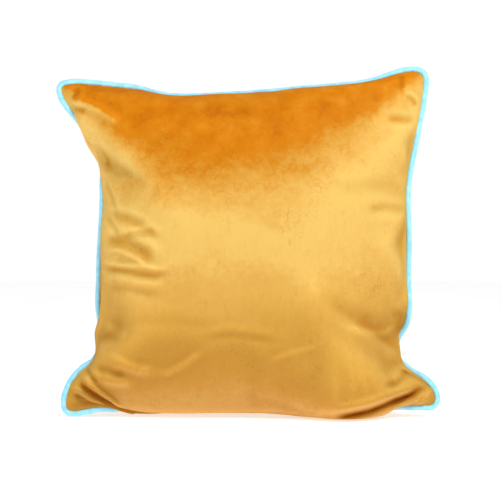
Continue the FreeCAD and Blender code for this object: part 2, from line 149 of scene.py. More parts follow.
@dataclass(frozen=True)
class GoldVelvet:
    """Polyester velvet, woven and cut to a short pile. Its colour holds painted sheen and shade:
    deep orange high up and on faces that look up, a pale painted sheen in the middle, darker lower
    down, and painted shade in the valleys of the folds."""

    # painted sheen and shade from the foot up: a little lighter at the foot, darker below the
    # middle, a pale painted sheen in the middle, deep orange at the top
    painted_sheen_and_shade: tuple[tuple[float, str], ...] = (
        (0.105, "d2a45e"),
        (0.178, "c89544"),
        (0.228, "c4933f"),
        (0.300, "cd9e46"),
        (0.386, "d6a852"),
        (0.439, "dcaf5a"),
        (0.490, "e6bf6b"),
        (0.560, "e8c36e"),
        (0.618, "e1b058"),
        (0.659, "d79c3b"),
        (0.700, "cf820b"),
        (0.826, "d27c02"),
    )
    # the painted deep orange at the top, where the pile is seen end-on, mottled at random
    deep: tuple[tuple[float, str], ...] = (
        (0.30, "c06c02"),
        (0.44, "ce7a02"),
        (0.56, "d4820c"),
        (0.72, "da9026"),
    )
    # painted shade in fold valleys, rising to a slight painted highlight on the ridges
    fold: tuple[tuple[float, str], ...] = (
        (0.0, "9c6220"),
        (0.2, "d4a452"),
        (0.36, "dcc896"),
        (0.5, "eeeade"),
        (0.62, "fffdf8"),
    )
    fleck: tuple[tuple[float, str], ...] = ((0.75, "ddcfb4"), (0.98, "f6f2ea"))
    crinkle: str = "a8742c"
    sheen: str = "ffc75f"
    pile_mm: float = 0.9
    crush_mm: float = 9.0
    fold_gain: float = 0.35
    cloud_gain: float = 0.34
    crush_gain: float = 0.18
    streak_gain: float = 1.2

    def build(self) -> bpy.types.Material:
        """Returns the velvet's material."""
        material, tree, shader = new_material("gold velvet, woven and cut pile")
        place = add_node(tree, "TexCoord").outputs["Object"]
        face = add_node(tree, "NewGeometry")
        split = add_node(tree, "SeparateXYZ", inputs={0: face.outputs["Normal"]})
        where = add_node(tree, "SeparateXYZ", inputs={0: place})
        # brushed patches of the pile, about 60 mm across, shift where the painted sheen starts
        cloud = add_node(
            tree, "TexNoise",
            inputs={"Vector": place, "Scale": 14.0, "Detail": 5.0, "Roughness": 0.62},
        )
        # crushed marks of the pile, about 9 mm across
        crush = add_node(
            tree,
            "TexNoise",
            inputs={
                "Vector": place,
                "Scale": 1 / (self.crush_mm * MM),
                "Detail": 4.0,
                "Roughness": 0.6,
                "Distortion": 1.2,
            },
        )
        # painted sheen and shade, set by height first and then by the slope of the folds: a little
        # lighter at the foot, darker lower down, a pale painted sheen in the middle and deep orange
        # at the top
        height = add_node(
            tree, "MapRange", {"clamp": False},
            {
                "Value": where.outputs["Z"], "From Min": 0.0, "From Max": 0.43,
                "To Min": -0.62, "To Max": 0.62,
            },
        )
        # towards the sides of the upper half the painted deep orange starts higher
        aside = add_node(tree, "Math", {"operation": "ADD"}, {0: where.outputs["X"], 1: 0.028})
        aside = add_node(
            tree, "Math", {"operation": "MULTIPLY"}, {0: aside.outputs[0], 1: aside.outputs[0]}
        )
        upper = add_node(
            tree, "MapRange",
            inputs={
                "Value": where.outputs["Z"], "From Min": 0.18, "From Max": 0.30, "To Max": -6.6,
            },
        )
        painted_light_level = add_node(
            tree, "Math", {"operation": "MULTIPLY_ADD"},
            {0: aside.outputs[0], 1: upper.outputs[0], 2: height.outputs[0]},
        )
        # the slope of each face adds to the painted sheen and shade, faces that look up going
        # deeper orange; random patches of pile shift it
        for pattern, weight in (
            (split.outputs["Z"], self.fold_gain),
            (cloud.outputs["Fac"], self.cloud_gain),
            (crush.outputs["Fac"], self.crush_gain),
        ):
            painted_light_level = add_node(
                tree, "Math", {"operation": "MULTIPLY_ADD"},
                {0: pattern, 1: weight, 2: painted_light_level.outputs[0]},
            )
        share = add_node(
            tree, "MapRange", {"interpolation_type": "LINEAR"},
            {"Value": painted_light_level.outputs[0], "From Min": -0.755, "From Max": 1.245},
        )
        ramp = add_node(tree, "ValToRGB", inputs={"Fac": share.outputs[0]})
        set_ramp(ramp, list(self.painted_sheen_and_shade))
        # where the painted deep orange shows, it is mottled by patches of brushed pile about 25 mm
        # across
        mottle = add_node(
            tree, "TexNoise",
            inputs={
                "Vector": place, "Scale": 40.0, "Detail": 6.0, "Roughness": 0.62,
                "Distortion": 0.15,
            },
        )
        deep = add_node(tree, "ValToRGB", inputs={"Fac": mottle.outputs["Fac"]})
        set_ramp(deep, list(self.deep))
        depth = add_node(
            tree, "MapRange",
            inputs={"Value": share.outputs[0], "From Min": 0.66, "From Max": 0.73, "To Max": 0.9},
        )
        pile = add_node(
            tree, "Mix", {"data_type": "RGBA"},
            {"Factor": depth.outputs[0], 6: ramp.outputs["Color"], 7: deep.outputs["Color"]},
        )
        # short crinkles where the pile was handled, as thin dark lines in patches
        line = add_node(
            tree, "TexNoise",
            inputs={"Vector": place, "Scale": 95.0, "Detail": 2.0, "Distortion": 1.6},
        )
        off = add_node(tree, "Math", {"operation": "SUBTRACT"}, {0: line.outputs["Fac"], 1: 0.5})
        off = add_node(tree, "Math", {"operation": "ABSOLUTE"}, {0: off.outputs[0]})
        thin = add_node(
            tree, "MapRange",
            inputs={
                "Value": off.outputs[0], "From Min": 0.0, "From Max": 0.03,
                "To Min": 1.0, "To Max": 0.0,
            },
        )
        patch = add_node(
            tree, "TexNoise", inputs={"Vector": place, "Scale": 22.0, "Detail": 2.0}
        )
        patch = add_node(
            tree, "MapRange",
            inputs={
                "Value": patch.outputs["Fac"], "From Min": 0.5, "From Max": 0.7, "To Max": 0.30,
            },
        )
        marks = add_node(
            tree, "Math", {"operation": "MULTIPLY"}, {0: thin.outputs[0], 1: patch.outputs[0]}
        )
        # brushing streaks, about 5 mm wide, that run up and down with the pile
        brushed = add_node(
            tree, "Mapping", inputs={"Vector": place, "Scale": (1.0, 1.0, 0.3)}
        )
        streak = add_node(
            tree, "TexNoise",
            inputs={
                "Vector": brushed.outputs["Vector"], "Scale": 190.0, "Detail": 4.0,
                "Roughness": 0.65,
            },
        )
        # the fine nap, drawn coarser than its 0.3 mm so that it shows
        nap = add_node(
            tree, "TexNoise",
            inputs={"Vector": place, "Scale": 1 / (self.pile_mm * MM), "Detail": 3.0},
        )
        # painted shade darkens each fold's valley and a slight painted highlight lightens its ridge
        fold_shading = add_node(tree, "Attribute", {"attribute_name": "fold_shade_and_highlight"})
        shade = add_node(
            tree, "MapRange",
            inputs={"Value": fold_shading.outputs["Fac"], "From Min": -1.0, "From Max": 1.0},
        )
        fold = add_node(tree, "ValToRGB", inputs={"Fac": shade.outputs[0]})
        set_ramp(fold, list(self.fold))
        folded = add_node(
            tree, "Mix", {"data_type": "RGBA", "blend_type": "MULTIPLY"},
            {"Factor": 1.0, 6: pile.outputs[2], 7: fold.outputs["Color"]},
        )
        marked = add_node(
            tree, "Mix", {"data_type": "RGBA", "blend_type": "MULTIPLY"},
            {"Factor": marks.outputs[0], 6: folded.outputs[2], 7: linear(self.crinkle)},
        )
        grain = add_node(
            tree, "Math", {"operation": "MULTIPLY_ADD"},
            {0: streak.outputs["Fac"], 1: self.streak_gain, 2: nap.outputs["Fac"]},
        )
        fleck = add_node(tree, "ValToRGB", inputs={"Fac": grain.outputs[0]})
        set_ramp(fleck, list(self.fleck))
        tint = add_node(
            tree, "Mix", {"data_type": "RGBA", "blend_type": "MULTIPLY"},
            {"Factor": 0.6, 6: marked.outputs[2], 7: fleck.outputs["Color"]},
        )
        tree.links.new(tint.outputs[2], shader.inputs["Base Color"])
        shader.inputs["Roughness"].default_value = 0.6
        shader.inputs["Specular IOR Level"].default_value = 0.06
        shader.inputs["Sheen Weight"].default_value = 0.12
        shader.inputs["Sheen Roughness"].default_value = 0.4
        shader.inputs["Sheen Tint"].default_value = linear(self.sheen)
        soft = add_node(
            tree, "Bump",
            inputs={"Height": crush.outputs["Fac"], "Strength": 0.25, "Distance": 0.0012},
        )
        fine = add_node(
            tree,
            "Bump",
            inputs={
                "Height": nap.outputs["Fac"], "Strength": 0.2, "Distance": 0.0004,
                "Normal": soft.outputs["Normal"],
            },
        )
        tree.links.new(fine.outputs["Normal"], shader.inputs["Normal"])
        return material


@dataclass(frozen=True)
class WovenCloth:
    """Plain cloth of one colour, woven: a matt face with a fine thread pattern."""

    name: str
    light: str
    dark: str
    thread_mm: float = 0.8
    roughness: float = 0.75
    sheen: float = 0.15
    slant: float = 0.0

    def build(self) -> bpy.types.Material:
        """Returns the cloth's material."""
        material, tree, shader = new_material(self.name)
        place = add_node(tree, "TexCoord").outputs["Object"]
        turn = add_node(
            tree, "Mapping", inputs={"Vector": place, "Rotation": (0, self.slant, 0)}
        )
        pitch = 1 / (self.thread_mm * MM) / math.tau
        heights = []
        for axis in ("X", "Z"):
            wave = add_node(
                tree, "TexWave",
                {"wave_type": "BANDS", "bands_direction": axis},
                {
                    "Vector": turn.outputs["Vector"], "Scale": pitch, "Distortion": 0.6,
                    "Detail": 1.0,
                },
            )
            heights.append(wave.outputs["Fac"])
        weave = add_node(tree, "Math", {"operation": "MULTIPLY"}, {0: heights[0], 1: heights[1]})
        slub = add_node(
            tree, "TexNoise", inputs={"Vector": place, "Scale": 130.0, "Detail": 3.0}
        )
        both = add_node(
            tree, "Math", {"operation": "MULTIPLY_ADD"},
            {0: weave.outputs[0], 1: 0.45, 2: slub.outputs["Fac"]},
        )
        ramp = add_node(tree, "ValToRGB", inputs={"Fac": both.outputs[0]})
        set_ramp(ramp, [(0.32, self.dark), (0.85, self.light)])
        tree.links.new(ramp.outputs["Color"], shader.inputs["Base Color"])
        shader.inputs["Roughness"].default_value = self.roughness
        shader.inputs["Sheen Weight"].default_value = self.sheen
        bump = add_node(
            tree, "Bump", inputs={"Height": weave.outputs[0], "Strength": 0.3, "Distance": 0.0003}
        )
        tree.links.new(bump.outputs["Normal"], shader.inputs["Normal"])
        return material


@dataclass(frozen=True)
class MouldedNylon:
    """Nylon, drawn and moulded: smooth and slightly glossy, dyed to the velvet."""

    colour: str = "c88a26"
    dark: str = "a86e18"

    def build(self) -> bpy.types.Material:
        """Returns the nylon's material."""
        material, tree, shader = new_material("dyed nylon, moulded")
        place = add_node(tree, "TexCoord").outputs["Object"]
        mottle = add_node(
            tree, "TexNoise", inputs={"Vector": place, "Scale": 420.0, "Detail": 2.0}
        )
        ramp = add_node(tree, "ValToRGB", inputs={"Fac": mottle.outputs["Fac"]})
        set_ramp(ramp, [(0.3, self.dark), (0.7, self.colour)])
        tree.links.new(ramp.outputs["Color"], shader.inputs["Base Color"])
        shader.inputs["Roughness"].default_value = 0.38
        return material


@dataclass(frozen=True)
class NickelPlate:
    """Die-cast zinc, nickel plated and tumbled: bright metal with soft hairlines."""

    colour: str = "c9c4b8"

    def build(self) -> bpy.types.Material:
        """Returns the plated metal's material."""
        material, tree, shader = new_material("zinc alloy, die cast and nickel plated")
        place = add_node(tree, "TexCoord").outputs["Object"]
        rub = add_node(
            tree, "TexNoise", inputs={"Vector": place, "Scale": 900.0, "Detail": 3.0}
        )
        rough = add_node(
            tree, "MapRange", inputs={"Value": rub.outputs["Fac"], "To Min": 0.2, "To Max": 0.42}
        )
        tree.links.new(rough.outputs[0], shader.inputs["Roughness"])
        shader.inputs["Base Color"].default_value = linear(self.colour)
        shader.inputs["Metallic"].default_value = 1.0
        bump = add_node(
            tree, "Bump", inputs={"Height": rub.outputs["Fac"], "Strength": 0.1, "Distance": 0.0001}
        )
        tree.links.new(bump.outputs["Normal"], shader.inputs["Normal"])
        return material


@dataclass(frozen=True)
class FibreFill:
    """Polyester fibre, crimped and carded: a soft white mass."""

    colour: str = "f4f3ef"

    def build(self) -> bpy.types.Material:
        """Returns the fibre's material."""
        material, tree, shader = new_material("polyester fibre, crimped and carded")
        place = add_node(tree, "TexCoord").outputs["Object"]
        tuft = add_node(
            tree, "TexNoise", inputs={"Vector": place, "Scale": 90.0, "Detail": 6.0}
        )
        ramp = add_node(tree, "ValToRGB", inputs={"Fac": tuft.outputs["Fac"]})
        set_ramp(ramp, [(0.3, "dcdad2"), (0.7, self.colour)])
        tree.links.new(ramp.outputs["Color"], shader.inputs["Base Color"])
        shader.inputs["Roughness"].default_value = 0.95
        bump = add_node(
            tree, "Bump", inputs={"Height": tuft.outputs["Fac"], "Strength": 0.6, "Distance": 0.002}
        )
        tree.links.new(bump.outputs["Normal"], shader.inputs["Normal"])
        return material


@dataclass
class Finishes:
    """Every material of the pillow, made once."""

    velvet: bpy.types.Material = field(default_factory=lambda: GoldVelvet().build())
    piping: bpy.types.Material = field(
        default_factory=lambda: WovenCloth(
            "aqua cotton sateen, cut on the bias", "a4e5f7", "72c6eb", 0.9, 0.55, 0.2,
            math.radians(45),
        ).build()
    )
    cord: bpy.types.Material = field(
        default_factory=lambda: WovenCloth("cotton cord, twisted", "efe9da", "cfc6b0", 1.2).build()
    )
    thread: bpy.types.Material = field(
        default_factory=lambda: WovenCloth(
            "polyester thread, spun", "dc9a35", "b77818", 0.4, 0.5
        ).build()
    )
    tape: bpy.types.Material = field(
        default_factory=lambda: WovenCloth(
            "polyester tape, woven", "d79c3c", "b47b22", 0.7, 0.7
        ).build()
    )
    nylon: bpy.types.Material = field(default_factory=lambda: MouldedNylon().build())
    metal: bpy.types.Material = field(default_factory=lambda: NickelPlate().build())
    cotton: bpy.types.Material = field(
        default_factory=lambda: WovenCloth(
            "white cotton, plain woven", "f5f2ea", "e2ddd0", 0.7
        ).build()
    )
    fibre: bpy.types.Material = field(default_factory=lambda: FibreFill().build())


# ----------------------------------------------------------------- mesh helpers


def make_object(name: str, mesh: bpy.types.Mesh, material: bpy.types.Material) -> bpy.types.Object:
    """Puts a mesh into the scene as a smooth object at the origin.

    Args:
        name: the piece's name.
        mesh: its mesh.
        material: its material.

    Returns:
        The new object.
    """
    mesh.materials.clear()
    mesh.materials.append(material)
    mesh.polygons.foreach_set("use_smooth", [True] * len(mesh.polygons))
    piece = bpy.data.objects.new(name, mesh)
    bpy.context.scene.collection.objects.link(piece)
    return piece


def mesh_of(name: str, points: np.ndarray, faces: list[tuple[int, ...]]) -> bpy.types.Mesh:
    """Makes a mesh from points in metres and faces.

    Args:
        name: the mesh's name.
        points: one row per vertex.
        faces: vertex numbers of each face.

    Returns:
        The mesh.
    """
    mesh = bpy.data.meshes.new(name)
    mesh.from_pydata(points.tolist(), [], faces)
    mesh.update()
    return mesh


def grid_faces(columns: int, rows: int, way: int, base: int = 0) -> list[list[int]]:
    """Numbers the faces of a grid of points.

    Args:
        columns: points across.
        rows: points up.
        way: -1 if the grid faces the front, +1 if it faces the back.
        base: number of the grid's first point.

    Returns:
        Four point numbers per face, in the order that makes it face outwards.
    """
    ids = np.arange(columns * rows).reshape(columns, rows) + base
    rings = np.stack([ids[:-1, :-1], ids[1:, :-1], ids[1:, 1:], ids[:-1, 1:]], -1).reshape(-1, 4)
    return (rings if way < 0 else rings[:, ::-1]).tolist()


def from_ends(count: int) -> np.ndarray:
    """Returns how many steps each of `count` rows is away from the nearer end."""
    order = np.arange(count)
    return np.minimum(order, order[::-1])


def declare(piece: bpy.types.Object, body: str, node: str) -> None:
    """Says what a piece rides on and what it replaces.

    Args:
        piece: the finished piece.
        body: the body that it rides on.
        node: the CAD node that it stands for.
    """
    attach(piece, body)
    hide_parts(node)
    LOG.info("%s: %d faces", piece.name, len(piece.data.polygons))


def pick_only(piece: bpy.types.Object) -> None:
    """Selects one object and makes it active, with everything else deselected."""
    bpy.ops.object.select_all(action="DESELECT")
    piece.select_set(True)
    bpy.context.view_layer.objects.active = piece


def apply_modifier(piece: bpy.types.Object, kind: str, **settings: object) -> None:
    """Adds a modifier, sets it and applies it.

    Args:
        piece: object that gets it.
        kind: the modifier's type.
        **settings: attribute name to value.
    """
    pick_only(piece)
    modifier = piece.modifiers.new(kind.title(), kind)
    for name, value in settings.items():
        setattr(modifier, name, value)
    bpy.ops.object.modifier_apply(modifier=modifier.name)


# ------------------------------------------------------------------------- seam


class Side(Enum):
    """The four sides of the cover, in order round the seam from the top left ear."""

    TOP = 0
    RIGHT = 1
    FOOT = 2
    LEFT = 3


# The seam's shape in millimetres from the top left ear's tip, clockwise from the
# front: (across, back from the seam plane, up). The last point of a side is the
# first of the next.
SEAM_SHAPE = {
    Side.TOP: [
        (-229, 0, 404.5), (-217, 0, 409), (-194, 0, 408.5), (-165, 1, 405.5), (-134, 3, 402),
        (-112, 6, 396), (-92, 8, 393), (-40, 9, 394), (24, 8, 398), (70, 4, 402), (100, 1, 404),
        (152, 0, 411), (178, 0, 420), (194, 0, 424), (207, 0, 424),
    ],
    Side.RIGHT: [
        (214, 0, 420), (217, 0, 412), (216, 0, 397), (210, -1, 362), (204, -3, 331),
        (198, -4, 302), (195, -4, 275), (196, -4, 215), (195, -4, 165), (196, -3, 127),
        (193, 2, 112), (184, 12, 94), (184, 13, 74), (196, 6, 60), (217, -2, 47), (229, -4, 32),
    ],
    Side.FOOT: [
        (230, -5, 19), (225, -5, 13), (211, -5, 12), (180, -2, 12.5), (120, 2, 13), (60, 3, 13),
        (-60, 3, 13), (-120, 2, 12.5), (-160, -1, 9.8), (-182, -2, 9.6), (-200, -3, 6.2),
    ],
    Side.LEFT: [
        (-213, -3, 4.6), (-222, -3, 8), (-224.6, -3, 18), (-220, -2, 38), (-212, -1, 51),
        (-202, 2, 61), (-189, 9, 70), (-181, 14, 92), (-182, 6, 120), (-183, -4, 140),
        (-182, -4, 165),
        (-181, -5, 200), (-178, -4, 250), (-178, 2, 288), (-179, 13, 318), (-191, 17, 343),
        (-208, 10, 362), (-222, 3, 379), (-229.5, 0, 393),
    ],
}


@dataclass
class EdgeSeam:
    """The line where front, piping and back are sewn together."""

    resolution: int = 16
    points: dict[Side, np.ndarray] = field(default_factory=dict)

    def curve(self, name: str) -> bpy.types.Object:
        """Makes the closed curve through the seam's shape points."""
        data = bpy.data.curves.new(name, "CURVE")
        data.dimensions = "3D"
        data.resolution_u = self.resolution
        data.render_resolution_u = self.resolution
        spline = data.splines.new("BEZIER")
        knots = [p for side in Side for p in SEAM_SHAPE[side]]
        spline.bezier_points.add(len(knots) - 1)
        for knot, place in zip(spline.bezier_points, knots):
            knot.co = Vector(place) * MM
            knot.handle_left_type = knot.handle_right_type = "AUTO"
        spline.use_cyclic_u = True
        curve = bpy.data.objects.new(name, data)
        bpy.context.scene.collection.objects.link(curve)
        return curve

    def trace(self) -> None:
        """Reads each side's points from the curve."""
        curve = self.curve("seam_line")
        bpy.context.view_layer.update()
        mesh = bpy.data.meshes.new_from_object(curve)
        line = np.array([v.co for v in mesh.vertices])
        bpy.data.objects.remove(curve)
        starts, total = [], 0
        for side in Side:
            starts.append(total * self.resolution)
            total += len(SEAM_SHAPE[side])
        starts.append(len(line))
        for side in Side:
            stretch = line[starts[side.value] : starts[side.value + 1] + 1]
            if side is Side.LEFT:
                stretch = np.vstack([stretch, line[:1]])
            self.points[side] = stretch
        LOG.info("seam: %d points", len(line))

    def loop(self) -> np.ndarray:
        """Returns the whole seam, each point once."""
        return np.vstack([self.points[side][:-1] for side in Side])

    def at(self, side: Side, shares: np.ndarray) -> np.ndarray:
        """Points along one side.

        Args:
            side: which side.
            shares: how far along it, from 0 to 1.

        Returns:
            One row per share.
        """
        line = self.points[side]
        run = np.r_[0, np.cumsum(np.linalg.norm(np.diff(line, axis=0), axis=1))]
        run /= run[-1]
        return np.stack([np.interp(shares, run, line[:, i]) for i in range(3)], -1)


# ------------------------------------------------------------------------ cover


@dataclass
class StuffedCover:
    """The velvet cover as cloth: two flat squares sewn together along the seam,
    blown up by the insert."""

    seam: EdgeSeam
    cells: int = 96
    cloth_size: float = 0.462
    corner: float = 0.020
    frames: int = 30
    half_depth: float = 0.0835
    floor_reach: float = 0.006
    front: np.ndarray | None = None
    back: np.ndarray | None = None

    def flat_square(self) -> tuple[np.ndarray, np.ndarray]:
        """Returns the flat cloth's grid with rounded corners, as x and z."""
        steps = np.linspace(-0.5, 0.5, self.cells + 1) * self.cloth_size
        x, z = np.meshgrid(steps, steps, indexing="ij")
        straight = self.cloth_size / 2 - self.corner
        a = np.clip((np.abs(x) - straight) / self.corner, 0, 1)
        b = np.clip((np.abs(z) - straight) / self.corner, 0, 1)
        round_x = np.sign(x) * (straight + self.corner * a * np.sqrt(1 - b * b / 2))
        round_z = np.sign(z) * (straight + self.corner * b * np.sqrt(1 - a * a / 2))
        return np.where(a > 0, round_x, x), np.where(b > 0, round_z, z)

    def stretched(self, x: np.ndarray, z: np.ndarray) -> np.ndarray:
        """Spreads the flat grid between the seam's four sides.

        Args:
            x: the flat grid's x.
            z: the flat grid's z.

        Returns:
            Points of the grid in the seam's surface.
        """

        def shares(px: np.ndarray, pz: np.ndarray) -> np.ndarray:
            run = np.r_[0, np.cumsum(np.hypot(np.diff(px), np.diff(pz)))]
            return run / run[-1]

        top = self.seam.at(Side.TOP, shares(x[:, -1], z[:, -1]))
        foot = self.seam.at(Side.FOOT, 1 - shares(x[:, 0], z[:, 0]))
        left = self.seam.at(Side.LEFT, shares(x[0], z[0]))
        right = self.seam.at(Side.RIGHT, 1 - shares(x[-1], z[-1]))
        steps = np.linspace(0, 1, self.cells + 1)
        s, t = np.meshgrid(steps, steps, indexing="ij")
        s, t = s[..., None], t[..., None]
        sheet = (1 - t) * foot[:, None] + t * top[:, None] + (1 - s) * left[None] + s * right[None]
        corners = (1 - s) * (1 - t) * foot[0] + s * (1 - t) * foot[-1]
        return sheet - corners - (1 - s) * t * top[0] - s * t * top[-1]

    def blow_up(self) -> None:
        """Runs the cloth simulation and keeps the front's and back's points."""
        n = self.cells
        x, z = self.flat_square()
        middle = self.seam.loop()[:, 2].mean()
        steps = np.linspace(0, 1, n + 1)
        s, t = np.meshgrid(steps, steps, indexing="ij")
        puff = np.clip(16 * s * (1 - s) * t * (1 - t), 0, 1)
        front_ids = np.arange((n + 1) ** 2).reshape(n + 1, n + 1)
        back_ids = front_ids.copy()
        back_ids[1:-1, 1:-1] = (n + 1) ** 2 + np.arange((n - 1) ** 2).reshape(n - 1, n - 1)
        sheet = self.stretched(x, z)
        flat = np.stack([x, 0 * x, z + middle], -1)
        offset = np.stack([0 * puff, puff * 0.006, 0 * puff], -1)
        inner = (slice(1, -1), slice(1, -1))
        start = np.vstack([(flat - offset).reshape(-1, 3), (flat + offset)[inner].reshape(-1, 3)])
        target = np.vstack([sheet.reshape(-1, 3), sheet[inner].reshape(-1, 3)])
        faces = []
        for i in range(n):
            for j in range(n):
                a, b, c, d = (i, j), (i + 1, j), (i + 1, j + 1), (i, j + 1)
                faces.append(tuple(int(front_ids[k]) for k in (a, b, c, d)))
                faces.append(tuple(int(back_ids[k]) for k in (a, d, c, b)))
        bag = make_object("cloth_bag", mesh_of("cloth_bag", start, faces), bpy.data.materials[0])
        points = self.simulate(bag, target, front_ids)
        bpy.data.objects.remove(bag)
        self.front = points[front_ids]
        self.back = points[back_ids]

    def simulate(self, bag: bpy.types.Object, target: np.ndarray, ids: np.ndarray) -> np.ndarray:
        """Draws the bag's seam into its place while the air inside swells it.

        Args:
            bag: the flat bag.
            target: where each point would be on the seam's surface.
            ids: the front's vertex numbers.

        Returns:
            The bag's points at the end.
        """
        bag.shape_key_add(name="Basis")
        drawn = bag.shape_key_add(name="drawn in")
        drawn.data.foreach_set("co", target.ravel())
        drawn.value = 0
        drawn.keyframe_insert("value", frame=1)
        drawn.value = 1
        drawn.keyframe_insert("value", frame=12)
        edge = {int(i) for i in np.r_[ids[0], ids[-1], ids[:, 0], ids[:, -1]]}
        bag.vertex_groups.new(name="seam").add(sorted(edge), 1.0, "REPLACE")
        modifier = bag.modifiers.new("Cloth", "CLOTH")
        cloth = modifier.settings
        cloth.quality = 6
        cloth.mass = 0.002
        cloth.air_damping = 0.5
        cloth.tension_stiffness = cloth.compression_stiffness = 120
        cloth.shear_stiffness = 25
        cloth.bending_stiffness = 0.06
        cloth.tension_damping = cloth.compression_damping = cloth.shear_damping = 1
        cloth.bending_damping = 0.1
        cloth.use_pressure = True
        cloth.uniform_pressure_force = 30.0
        cloth.vertex_group_mass = "seam"
        cloth.effector_weights.gravity = 0
        modifier.collision_settings.use_collision = False
        modifier.collision_settings.use_self_collision = False
        modifier.point_cache.frame_start = 1
        modifier.point_cache.frame_end = self.frames
        scene = bpy.context.scene
        for frame in range(1, self.frames + 1):
            scene.frame_set(frame)
        shaped = bag.evaluated_get(bpy.context.evaluated_depsgraph_get()).data
        points = np.empty(len(shaped.vertices) * 3)
        shaped.vertices.foreach_get("co", points)
        scene.frame_set(1)
        return points.reshape(-1, 3)

    def settle(self) -> None:
        """Lets the filling sag, and folds the cloth where it is pinched."""
        for sheet, way in ((self.front, -1), (self.back, 1)):
            bulge = (sheet[..., 1] * way).clip(0)
            height = sheet[..., 2]
            fuller = 1 + 0.12 * np.exp(-(((height - 0.130) / 0.11) ** 2))
            fuller -= 0.08 * np.exp(-(((height - 0.370) / 0.10) ** 2))
            sheet[..., 1] += way * bulge * (fuller - 1)
            deepest = (sheet[..., 1] * way).max()
            sheet[..., 1] *= np.where(sheet[..., 1] * way > 0, self.half_depth / deepest, 1)
        self.front = self.softened(finer(self.front), 20)
        self.back = self.softened(finer(self.back), 8)
        for overhang in FRONT_OVERHANGS:
            overhang.press(self.front)
        for overhang in BACK_OVERHANGS:
            overhang.press(self.back)
        for sheet, line in ((self.front, FRONT_BELLY), (self.back, BACK_BELLY)):
            self.hang(sheet, np.array(line) * MM)
        for crease in FRONT_CREASES:
            crease.press(self.front)
        for sheet in (self.front, self.back):
            low = sheet[..., 2]
            # what would sink into the floor is flattened just above it
            room = self.floor_reach - FLOOR_GAP
            pressed = FLOOR_GAP + room * np.exp((low - self.floor_reach) / room)
            sheet[..., 2] = np.where(low < self.floor_reach, pressed, low)

    def softened(self, sheet: np.ndarray, times: int) -> np.ndarray:
        """Returns the grid with its small crumples filled out, and its edge kept."""
        soft = blurred(sheet, times)
        for edge in GRID_EDGES:
            soft[edge] = sheet[edge]
        return soft

    def hang(self, sheet: np.ndarray, line: np.ndarray) -> None:
        """Lets the belly hang down to a line.

        Args:
            sheet: grid of points, changed in place.
            line: across and up of the belly's lowest points, in metres.
        """
        rows = np.arange(sheet.shape[1]) / 2
        share = smooth_step(rows, 0, 3.0) * (1 - smooth_step(rows, 7, 24))
        lowest = sheet[:, 6:18, 2].min(1)
        across = sheet[:, 8, 0]
        down = np.interp(across, line[:, 0], line[:, 1]) - lowest
        down *= 1 - smooth_step(np.abs(across - 0.010), 0.150, 0.195)
        down = np.convolve(np.pad(down, 4, "edge"), np.ones(9) / 9, "valid")
        sheet[..., 2] += down[:, None] * share[None, :]
        out = np.interp(across, line[:, 0], line[:, 2])
        share = smooth_step(rows, 0.5, 5) * (1 - smooth_step(rows, 9, 30))
        sheet[..., 1] -= out[:, None] * share[None, :]


def smooth_step(value: np.ndarray, low: float, high: float) -> np.ndarray:
    """Goes smoothly from 0 at `low` to 1 at `high`."""
    share = np.clip((value - low) / (high - low), 0, 1)
    return share * share * (3 - 2 * share)


def finer(grid: np.ndarray) -> np.ndarray:
    """Halves a grid's cells, along a smooth surface through its points.

    Args:
        grid: points by column and row.

    Returns:
        The finer grid.
    """
    for _ in range(2):
        wide = np.concatenate([2 * grid[:1] - grid[1:2], grid, 2 * grid[-1:] - grid[-2:-1]])
        between = (9 * (wide[1:-2] + wide[2:-1]) - wide[:-3] - wide[3:]) / 16
        both = np.empty((2 * len(grid) - 1, *grid.shape[1:]))
        both[::2], both[1::2] = grid, between
        grid = both.swapaxes(0, 1)
    return grid


def blurred(grid: np.ndarray, times: int) -> np.ndarray:
    """Averages each point with its neighbours.

    Args:
        grid: points by column and row.
        times: how often.

    Returns:
        The smoother grid.
    """
    grid = grid.copy()
    for _ in range(times):
        for _ in range(2):
            grid[1:-1] = (grid[:-2] + 2 * grid[1:-1] + grid[2:]) / 4
            grid = grid.swapaxes(0, 1)
    return grid


def outward(grid: np.ndarray, way: int) -> np.ndarray:
    """Returns each point's outward direction; `way` is -1 for a front grid."""
    normals = np.cross(np.gradient(grid, axis=0), np.gradient(grid, axis=1)) * -way
    return normals / np.maximum(np.linalg.norm(normals, axis=-1, keepdims=True), 1e-12)


# how low the belly hangs and how far it is pushed out, in millimetres: (across, up, out)
FRONT_BELLY = [
    (-160, 6.0, 0), (-110, 4.5, 0), (-45, 5.5, 0), (10, 6.5, 2), (45, 4.0, 8), (80, -2.5, 19),
    (105, -6.5, 28), (125, -6.0, 28), (142, -3.5, 23), (160, 2.0, 14), (178, 8.0, 4), (200, 10, 0),
]
BACK_BELLY = [(-170, 7.0, 0), (-120, 3.5, 0), (120, 3.0, 0), (170, 7.0, 0)]


@dataclass(frozen=True)
class Overhang:
    """A place where the stuffed cloth bulges out over the seam."""

    middle: tuple[float, float]
    reach: tuple[float, float]
    shift: tuple[float, float]

    def press(self, sheet: np.ndarray) -> None:
        """Moves the cloth beside the seam outwards.

        Args:
            sheet: grid of points in metres, changed in place.
        """
        order = from_ends(sheet.shape[0])
        rows = np.minimum(order[:, None], order[None, :]) / 2
        share = smooth_step(rows, 0, 2.5) * (1 - smooth_step(rows, 5, 14))
        for axis, place, reach in zip((0, 2), self.middle, self.reach):
            share = share * np.exp(-(((sheet[..., axis] - place * MM) / (reach * MM)) ** 2))
        for axis, shift in zip((0, 2), self.shift):
            sheet[..., axis] += share * shift * MM


